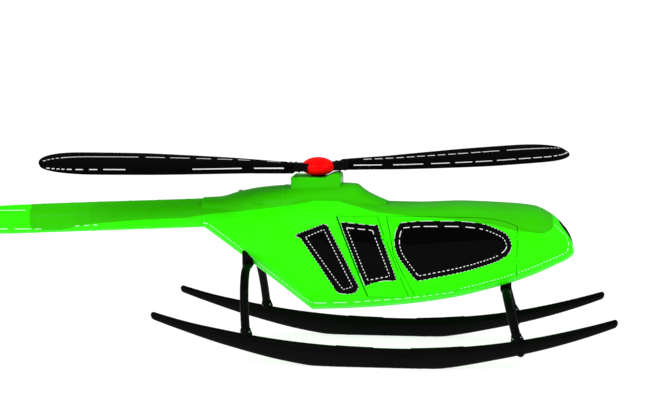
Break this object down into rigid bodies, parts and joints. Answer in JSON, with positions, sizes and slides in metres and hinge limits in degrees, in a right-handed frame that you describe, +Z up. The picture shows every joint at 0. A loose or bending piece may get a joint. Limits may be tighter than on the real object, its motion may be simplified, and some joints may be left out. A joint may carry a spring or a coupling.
{
  "type": "helicopter",
  "caption": "Light turbine helicopter on curved skids, with a teardrop cabin, opening doors, a long tail boom, and main and tail rotors that turn freely.",
  "frame": {"origin": "on the ground, under the middle of the whole helicopter's box", "axes": "+X to the nose, +Y to the left side, +Z up"},
  "size_m": [10.4367, 3.6426, 2.8351],
  "materials": {
    "bright_green_paint": "gloss",
    "dark_green_paint": "gloss",
    "black_paint": "satin",
    "red_paint": "gloss",
    "steel": "satin",
    "grey_metal": "satin",
    "engine_metal": "rough",
    "tinted_glass": "gloss",
    "seat_cloth": "woven",
    "black_plastic": "matte",
    "lamp_glass": "gloss",
    "red_lens": "gloss",
    "green_lens": "gloss"
  },
  "bodies": {
    "airframe": {"cabin_shell": "bright_green_paint", "nose_shell": "bright_green_paint", "roof_panel": "dark_green_paint", "aft_fuselage": "bright_green_paint", "rear_bulkhead": "grey_metal", "cabin_floor": "grey_metal", "transmission_cowl": "dark_green_paint", "engine_cowl": "dark_green_paint", "mast_fairing": "dark_green_paint", "engine_block": "engine_metal", "exhaust": "steel", "tail_boom": "bright_green_paint", "shaft_cover": "bright_green_paint", "tail_fin": "bright_green_paint", "stabilizer": "bright_green_paint", "tail_gearbox": "grey_metal", "tail_skid": "black_paint", "skid_left": "black_paint", "skid_right": "black_paint", "cross_tube_front": "black_paint", "cross_tube_rear": "black_paint", "windscreen_left": "tinted_glass", "windscreen_right": "tinted_glass", "aft_window_left": "tinted_glass", "aft_window_right": "tinted_glass", "seat_front_left": "seat_cloth", "seat_front_right": "seat_cloth", "rear_bench": "seat_cloth", "instrument_panel": "black_plastic", "flight_controls": "black_plastic", "landing_light": "lamp_glass", "nav_light_left": "red_lens", "nav_light_right": "green_lens", "beacon": "red_lens"},
    "front_left_door": {"door_front_left": "bright_green_paint", "glass_front_left": "tinted_glass"},
    "front_right_door": {"door_front_right": "bright_green_paint", "glass_front_right": "tinted_glass"},
    "rear_left_door": {"door_rear_left": "bright_green_paint", "glass_rear_left": "tinted_glass"},
    "rear_right_door": {"door_rear_right": "bright_green_paint", "glass_rear_right": "tinted_glass"},
    "main_rotor": {"rotor_mast": "steel", "hub_cap": "red_paint", "rotor_yoke": "black_paint", "main_blade_a": "black_paint", "main_blade_b": "black_paint"},
    "tail_rotor": {"tail_rotor_hub": "steel", "tail_blade_a": "black_paint", "tail_blade_b": "black_paint"}
  },
  "joints": [
    {"name": "main_rotor_spin", "type": "hinge", "parent": "airframe", "child": "main_rotor", "pos_m": [1.16, 0, 2.58], "axis": [0, 0, 1], "continuous": true},
    {"name": "tail_rotor_spin", "type": "hinge", "parent": "airframe", "child": "tail_rotor", "pos_m": [-4.69, 0.36, 1.7], "axis": [0, 1, 0], "continuous": true},
    {"name": "front_left_door_hinge", "type": "hinge", "parent": "airframe", "child": "front_left_door", "pos_m": [3.904, 0.708, 1.5], "axis": [0, 0, -1], "range_deg": [0, 75]},
    {"name": "front_right_door_hinge", "type": "hinge", "parent": "airframe", "child": "front_right_door", "pos_m": [3.904, -0.708, 1.5], "axis": [0, 0, 1], "range_deg": [0, 75]},
    {"name": "rear_left_door_hinge", "type": "hinge", "parent": "airframe", "child": "rear_left_door", "pos_m": [2.0793, 0.7685, 1.871], "axis": [0.365, 0, -0.931], "range_deg": [0, 80]},
    {"name": "rear_right_door_hinge", "type": "hinge", "parent": "airframe", "child": "rear_right_door", "pos_m": [2.0793, -0.7685, 1.871], "axis": [-0.365, 0, 0.931], "range_deg": [0, 80]}
  ]
}
